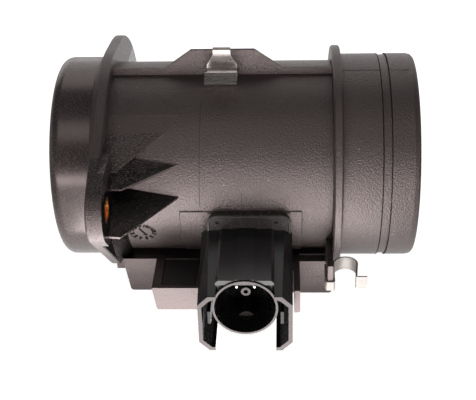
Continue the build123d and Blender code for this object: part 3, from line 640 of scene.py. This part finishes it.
def bead_tree():
    """Geometry nodes that lay a closed round bead along each line of edges."""
    name = "bead_along_path"
    if name in bpy.data.node_groups:
        return bpy.data.node_groups[name]
    tree = bpy.data.node_groups.new(name, "GeometryNodeTree")
    sockets = {"Path": "Geometry", "Bead radius": "Float", "Sides": "Int", "Material": "Material"}
    for socket, kind in sockets.items():
        tree.interface.new_socket(socket, in_out="INPUT", socket_type=f"NodeSocket{kind}")
    tree.interface.new_socket("Bead", in_out="OUTPUT", socket_type="NodeSocketGeometry")
    given, made = tree.nodes.new("NodeGroupInput").outputs, tree.nodes.new("NodeGroupOutput").inputs
    curve = tree.nodes.new("GeometryNodeMeshToCurve")
    section = tree.nodes.new("GeometryNodeCurvePrimitiveCircle")
    sweep = tree.nodes.new("GeometryNodeCurveToMesh")
    sweep.inputs["Fill Caps"].default_value = True
    whole = tree.nodes.new("GeometryNodeRealizeInstances")
    finish = tree.nodes.new("GeometryNodeSetMaterial")
    link_nodes(tree, [
        (given["Path"], curve.inputs[0]), (given["Sides"], section.inputs["Resolution"]),
        (given["Bead radius"], section.inputs["Radius"]), (curve.outputs[0], sweep.inputs["Curve"]),
        (section.outputs["Curve"], sweep.inputs["Profile Curve"]), (sweep.outputs[0], whole.inputs[0]),
        (whole.outputs[0], finish.inputs["Geometry"]), (given["Material"], finish.inputs["Material"]),
        (finish.outputs[0], made["Bead"]),
    ])
    return tree


def bead_mesh(name, paths, radius, sides, material):
    """Plain mesh of beads along paths, each a list of points."""
    points = [point for path in paths for point in path]
    edges, start = [], 0
    for path in paths:
        edges += [(start + i, start + i + 1) for i in range(len(path) - 1)]
        start += len(path)
    lines = bpy.data.meshes.new(name)
    lines.from_pydata(points, edges, [])
    holder = bpy.data.objects.new(name, lines)
    bpy.context.scene.collection.objects.link(holder)
    modifier = holder.modifiers.new("bead", "NODES")
    modifier.node_group = bead_tree()
    values = {"Bead radius": radius, "Sides": sides, "Material": material}
    for socket in modifier.node_group.interface.items_tree:
        if socket.in_out == "INPUT" and socket.name in values:
            modifier[socket.identifier] = values[socket.name]
    swept = evaluated_mesh(holder)
    holder.modifiers.remove(modifier)
    bpy.data.objects.remove(holder)
    bpy.data.meshes.remove(lines)
    if not swept.polygons:
        raise RuntimeError(f"{name} has no faces")
    shape = bmesh.new()
    shape.from_mesh(swept)
    bpy.data.meshes.remove(swept)
    return outward_mesh(name, shape)


def around_tube(x_span, angles, radius, count=40):
    """Points on a cylinder about the duct's axis, from one place and angle to another."""
    points = []
    for i in range(count + 1):
        share = i / count
        x = x_span[0] + (x_span[1] - x_span[0]) * share
        angle = math.radians(angles[0] + (angles[1] - angles[0]) * share)
        points.append((x, -radius * math.cos(angle), radius * math.sin(angle)))
    return points


def prism(shape, outline, height):
    """Add a flat outline, given anticlockwise, raised by a height."""
    low = [shape.verts.new((x, y, 0.0)) for x, y in outline]
    high = [shape.verts.new((x, y, height)) for x, y in outline]
    shape.faces.new(high)
    shape.faces.new(low[::-1])
    for i in range(len(outline)):
        j = (i + 1) % len(outline)
        shape.faces.new((low[i], low[j], high[j], high[i]))


def lofted(shape, back, back_y, front, front_y):
    """Add a closed solid between two outlines of (x, z) points with the same count, about the socket's axis."""
    first = [shape.verts.new((SOCKET_X + x, back_y, z)) for x, z in back]
    last = [shape.verts.new((SOCKET_X + x, front_y, z)) for x, z in front]
    shape.faces.new(first)
    shape.faces.new(last[::-1])
    for i in range(len(first)):
        j = (i + 1) % len(first)
        shape.faces.new((first[i], last[i], last[j], first[j]))


def mirrored_outline(right):
    """Close the right half of an outline with its mirror image."""
    return [*right, *((-x, z) for x, z in reversed(right))]


class AIRFLOW_OT_finish_duct(bpy.types.Operator):
    """Give the moulded duct, its lid and its flow grid their plastic finishes, with painted shade on the duct's
    rib faces
    """

    bl_idname = "airflow.finish_duct"
    bl_label = "Finish duct"

    def execute(self, context):
        look = context.scene.airflow_duct
        skin = Finish(look.colour, look.roughness, look.grain, look.grain_depth, look.edge, look.spread,
                      look.specks, look.level, look.sheen)
        duct = plastic("duct_plastic", skin, rib_shade=look.rib_shade, rib_smooth=look.rib_smooth,
                       inlet_smooth=look.smooth)
        dress(duct, "tube_housing")
        dress(plastic("lid_plastic", LID_FINISH), "electronics_lid")
        dress(plastic("grid_plastic", GRID_FINISH), "inlet_flow_grid", "grid_retaining_ring")
        return {"FINISHED"}


class AIRFLOW_OT_finish_connector(bpy.types.Operator):
    """Give the connector its smooth black plastic, with painted highlights at its mouth and painted light on
    its root plate
    """

    bl_idname = "airflow.finish_connector"
    bl_label = "Finish connector"

    def execute(self, context):
        look = context.scene.airflow_connector
        skin = Finish(look.colour, look.roughness, look.grain, look.grain_depth, look.edge, look.spread,
                      level=look.level)
        dress(plastic("connector_plastic", skin, rim=look.rim, root=look.root), "connector_housing")
        return {"FINISHED"}


class AIRFLOW_OT_finish_metals(bpy.types.Operator):
    """Give the clips, bushings and contacts their metals"""

    bl_idname = "airflow.finish_metals"
    bl_label = "Finish metals"

    def execute(self, context):
        look = context.scene.airflow_metal
        steel = metal("clip_steel", look.steel, stain=0.9, roughness=0.3, stretch=ROLLED_STRIP,
                      depth=0.004 * MM)
        zinc = metal("clip_zinc", look.zinc, stain=0.85, roughness=0.38, stretch=ROLLED_STRIP,
                     depth=0.004 * MM, metallic=0.3)
        brass = metal("bushing_brass", look.brass, stain=0.7, roughness=0.28, stretch=TURNED_RING,
                      depth=0.02 * MM)
        tin = metal("contact_tin", look.tin, stain=0.9, roughness=0.22, stretch=DRAWN_PIN,
                    depth=0.006 * MM)
        dress(steel, "top_spring_clip")
        dress(zinc, "lower_spring_clip")
        dress(brass, "flange_bushings")
        dress(tin, "terminal_pins")
        return {"FINISHED"}


class AIRFLOW_OT_finish_inside(bpy.types.Operator):
    """Give the sensing finger, its ceramic strip, its bead, the seal and the board their finishes"""

    bl_idname = "airflow.finish_inside"
    bl_label = "Finish inside"

    def execute(self, context):
        for name, nodes, finish in INSIDE_FINISHES:
            dress(plastic(name, finish), *nodes)
        return {"FINISHED"}


class AIRFLOW_OT_connector_shoulders(bpy.types.Operator):
    """Fit the sloping shoulders and the tapered cover over the connector's wings and hood"""

    bl_idname = "airflow.connector_shoulders"
    bl_label = "Connector shoulders"

    def execute(self, context):
        rise = context.scene.airflow_connector.rise
        proud, wall = 0.04 * MM, 1.2 * MM
        back_y, root_top = PLATE_FRONT_Y + wall, HOOD_TOP + rise
        shape = bmesh.new()
        self.add_shoulders(shape, proud, wall, back_y, root_top, rise)
        self.add_cover(shape, proud, back_y, root_top)
        mesh = outward_mesh("connector_shoulders", shape)
        add_piece("connector_shoulders", mesh, named_material("connector_plastic"))
        return {"FINISHED"}

    def add_shoulders(self, shape, proud, wall, back_y, root_top, rise):
        gap, setback = 0.2 * MM, 0.3 * MM
        root_flat, root_drop = 3.0 * MM, 2.6 * MM
        outer, low, wing_top = WING_HALF_WIDTH + proud, WING_TOP - WING_CHAMFER, WING_TOP + proud
        back_inner, front_inner = HOOD_HALF_WIDTH - wall, HOOD_HALF_WIDTH + gap
        back = [
            (back_inner, low), (back_inner, root_top - rise / 4), (outer - root_flat, root_top - rise / 3),
            (outer, root_top - root_drop), (outer, low - proud), (outer - wall, low - proud),
        ]
        front = [
            (front_inner, WING_TOP - wall), (front_inner, wing_top), (outer - WING_CHAMFER, wing_top),
            (outer, low + proud), (outer - proud * 2, low - proud), (outer - wall, low - proud),
        ]
        for side in (-1.0, 1.0):
            lofted(shape, [(side * x, z) for x, z in back], back_y,
                   [(side * x, z) for x, z in front], WING_FRONT_Y + setback)

    def add_cover(self, shape, proud, back_y, root_top):
        step, corner, skirt, setback = 0.5 * MM, 1.1 * MM, 2.0 * MM, 0.7 * MM
        half = HOOD_HALF_WIDTH + proud
        ends = []
        for top in (root_top, HOOD_TOP + proud * 2):
            ends.append(mirrored_outline([
                (half, HOOD_TOP - skirt), (half, top - corner), (half - corner, top), (BAND_HALF_WIDTH, top),
                (BAND_HALF_WIDTH, top + step),
            ]))
        lofted(shape, ends[0], back_y, ends[1], MOUTH_Y + setback)


class AIRFLOW_OT_date_dial(bpy.types.Operator):
    """Raise the plain numbers and the pointer of the moulded dial, near-black to paint the shade of their
    relief
    """

    bl_idname = "airflow.date_dial"
    bl_label = "Moulded dial"

    def execute(self, context):
        look = context.scene.airflow_marks
        shape = bmesh.new()
        for number in range(look.count):
            numeral = numeral_mesh(str(number + 1), look.numeral, look.bold, look.relief)
            angle = look.turn + math.tau * number / look.count
            outward = Matrix.Translation((0.0, look.dial_radius, 0.0))
            numeral.transform(Matrix.Rotation(-angle, 4, "Z") @ outward)
            shape.from_mesh(numeral)
            bpy.data.meshes.remove(numeral)
        half, reach, neck = ARROW_HALF_WIDTH, ARROW_REACH, ARROW_REACH - ARROW_HEAD
        arrow = [(-half, -reach), (half, -reach), (half, neck), (ARROW_HEAD, neck), (0.0, reach),
                 (-ARROW_HEAD, neck), (-half, neck)]
        c, s = math.cos(look.arrow), math.sin(look.arrow)
        prism(shape, [(x * c + y * s, y * c - x * s) for x, y in arrow], look.relief)
        shape.transform(dial_matrix())
        bmesh.ops.remove_doubles(shape, verts=shape.verts, dist=WELD)
        mesh = outward_mesh("dial_marks", shape)
        add_piece("dial_marks", mesh, plastic("painted_shade_plastic", SHADE_MARK_FINISH))
        return {"FINISHED"}


class AIRFLOW_OT_mould_lines(bpy.types.Operator):
    """Lay the fine beads where the mould's parts met, and dark beads of painted shade at the corners of collar
    and groove and along the patch ends
    """

    bl_idname = "airflow.mould_lines"
    bl_label = "Mould lines"

    def execute(self, context):
        look = context.scene.airflow_marks
        sunk = look.line * LINE_SUNK
        tube, stub = TUBE_RADIUS - sunk, OUTLET_RADIUS - sunk
        lines = [
            around_tube(SIDE_LINE_X, SIDE_LINE_ANGLES, tube),
            around_tube((PLATE_LINE_X, PLATE_LINE_X), PLATE_LINE_ANGLES, tube, count=10),
        ]
        for angle in OUTLET_LINE_ANGLES:
            lines += [around_tube(span, (angle, angle), stub, count=2) for span in OUTLET_LINE_X]
        duct = named_material("duct_plastic")
        mesh = bead_mesh("mould_lines", lines, look.line, LINE_SIDES, duct)
        add_piece("mould_lines", mesh, duct)
        # Painted shade: dark beads along the corners at collar and groove and along the patch ends
        rings = zip((*COLLAR_X, *GROOVE_X), (TUBE_RADIUS, OUTLET_RADIUS, stub, stub))
        shade_paths = [around_tube((x, x), (0.0, 360.0), radius, count=120) for x, radius in rings]
        patch = TUBE_RADIUS + PATCH_LINE_LIFT
        shade_paths += [around_tube((x, x), PATCH_ANGLES, patch, count=12) for x in PATCH_ENDS]
        dark = named_material("painted_shade_plastic")
        mesh = bead_mesh("painted_shade_lines", shade_paths, look.seam, LINE_SIDES, dark)
        add_piece("painted_shade_lines", mesh, dark)
        return {"FINISHED"}


class AIRFLOW_OT_plate_bead(bpy.types.Operator):
    """Lay the bead around the top of the connector's root plate"""

    bl_idname = "airflow.plate_bead"
    bl_label = "Plate bead"

    def execute(self, context):
        radius = context.scene.airflow_marks.bead
        y = PLATE_FRONT_Y + radius * BEAD_SUNK
        half, top, corner = PLATE_HALF_WIDTH - BEAD_INSET, PLATE_TOP - BEAD_INSET, PLATE_CORNER - BEAD_INSET
        right = [(half, BEAD_FOOT)]
        for i in range(CORNER_STEPS + 1):
            angle = math.radians(90.0 * i / CORNER_STEPS)
            right.append((half - corner + corner * math.cos(angle), top - corner + corner * math.sin(angle)))
        path = [(PLATE_CENTRE_X + x, y, z) for x, z in mirrored_outline(right)]
        material = named_material("connector_plastic")
        mesh = bead_mesh("plate_bead", [path], radius, BEAD_SIDES, material)
        add_piece("plate_bead", mesh, material)
        return {"FINISHED"}


class AIRFLOW_OT_stage(bpy.types.Operator):
    """Add the pale floor, the soft lights and the camera at the picture's angle"""

    bl_idname = "airflow.stage"
    bl_label = "Stage"

    def execute(self, context):
        look = context.scene.airflow_stage
        self.add_floor(look)
        self.add_world(look)
        for name, place, target, size, power, share in LAMPS:
            self.add_light(name, place, target, size, getattr(look, power) * share)
        self.add_camera(context, look)
        context.scene.view_settings.view_transform = "Standard"
        return {"FINISHED"}

    def add_floor(self, look):
        mesh = bpy.data.meshes.new("floor")
        r = FLOOR_REACH
        corners = [(x, y, FLOOR_Z) for x, y in ((-r, -r), (r, -r), (r, r), (-r, r))]
        mesh.from_pydata(corners, [], [(0, 1, 2, 3)])
        floor = bpy.data.objects.new("floor", mesh)
        bpy.context.scene.collection.objects.link(floor)
        material, tree, shader, place = new_material("floor_paper")
        set_sockets(shader, Base_Color=(*look.floor, 1.0), Roughness=0.9, Specular_IOR_Level=0.1)
        away = math_node(tree, "SUBTRACT", separated(tree, place)["X"], STAGE_X)
        near = ramp_value(tree, math_node(tree, "ABSOLUTE", away), *FLOOR_MIRRORED)
        glow = tree.nodes.new("ShaderNodeEmission")
        both = tree.nodes.new("ShaderNodeAddShader")
        link_nodes(tree, [
            (product(tree, seen_rays(tree, near), look.glow), glow.inputs["Strength"]),
            (shader.outputs[0], both.inputs[0]), (glow.outputs[0], both.inputs[1]),
            (both.outputs[0], node_of(tree, "OUTPUT_MATERIAL").inputs["Surface"]),
        ])
        mesh.materials.append(material)

    def add_world(self, look):
        world = bpy.data.worlds.new("studio")
        world.use_nodes = True
        bpy.context.scene.world = world
        tree = world.node_tree
        sky = node_of(tree, "BACKGROUND")
        sky.inputs["Color"].default_value = (1.0, 1.0, 1.0, 1.0)
        direction = separated(tree, tree.nodes.new("ShaderNodeTexCoord").outputs["Generated"])
        seen = seen_rays(tree, ramp_value(tree, direction["Z"], *SKY_MIRRORED))
        level = ramp_value(tree, seen, 0.0, 1.0, look.ambient, 1.0, kind="LINEAR")
        tree.links.new(level, sky.inputs["Strength"])

    def add_light(self, name, place, target, size, power):
        data = bpy.data.lights.new(name, "AREA")
        data.shape = "RECTANGLE"
        data.size, data.size_y = size
        data.energy = power
        data.color = LAMP_COLOUR
        lamp = bpy.data.objects.new(name, data)
        lamp.location = place
        lamp.visible_camera = False
        lamp.rotation_euler = (Vector(target) - Vector(place)).to_track_quat("-Z", "Y").to_euler()
        bpy.context.scene.collection.objects.link(lamp)

    def add_camera(self, context, look):
        data = bpy.data.cameras.new("camera")
        data.sensor_width = SENSOR_WIDTH
        data.sensor_fit = "HORIZONTAL"
        data.lens = look.lens
        data.clip_start, data.clip_end = CLIP_RANGE
        camera = bpy.data.objects.new("camera", data)
        c, s = math.cos(look.pitch), math.sin(look.pitch)
        cy, sy = math.cos(look.yaw), math.sin(look.yaw)
        forward = Vector((sy, cy * c, -cy * s))
        right = Vector((cy, -sy * c, sy * s))
        upward = Vector((0.0, s, c))
        cr, sr = math.cos(look.roll), math.sin(look.roll)
        tilted_right, tilted_up = cr * right + sr * upward, cr * upward - sr * right
        place = Matrix((tilted_right, tilted_up, -forward)).transposed().to_4x4()
        place.translation = Vector(look.camera)
        camera.matrix_world = place
        context.scene.collection.objects.link(camera)
        context.scene.camera = camera


LOOKS = {
    "airflow_duct": DuctLook,
    "airflow_connector": ConnectorLook,
    "airflow_metal": MetalLook,
    "airflow_marks": MarkLook,
    "airflow_stage": StageLook,
}
OPERATORS = (
    AIRFLOW_OT_finish_duct,
    AIRFLOW_OT_finish_connector,
    AIRFLOW_OT_finish_metals,
    AIRFLOW_OT_finish_inside,
    AIRFLOW_OT_connector_shoulders,
    AIRFLOW_OT_date_dial,
    AIRFLOW_OT_mould_lines,
    AIRFLOW_OT_plate_bead,
    AIRFLOW_OT_stage,
)


class AIRFLOW_PT_panel(bpy.types.Panel):
    """Lists the operators in the sidebar"""

    bl_idname = "AIRFLOW_PT_panel"
    bl_label = "Mass airflow sensor"
    bl_space_type = "VIEW_3D"
    bl_region_type = "UI"
    bl_category = "Airflow"

    def draw(self, context):
        for operator in OPERATORS:
            self.layout.operator(operator.bl_idname)


def register():
    for cls in (*LOOKS.values(), *OPERATORS, AIRFLOW_PT_panel):
        bpy.utils.register_class(cls)
    for name, cls in LOOKS.items():
        setattr(bpy.types.Scene, name, PointerProperty(type=cls))


def unregister():
    for name in LOOKS:
        delattr(bpy.types.Scene, name)
    for cls in reversed((*LOOKS.values(), *OPERATORS, AIRFLOW_PT_panel)):
        bpy.utils.unregister_class(cls)


def main():
    register()
    for operator in OPERATORS:
        group, name = operator.bl_idname.split(".")
        getattr(getattr(bpy.ops, group), name)()


if __name__ == "__main__":
    main()
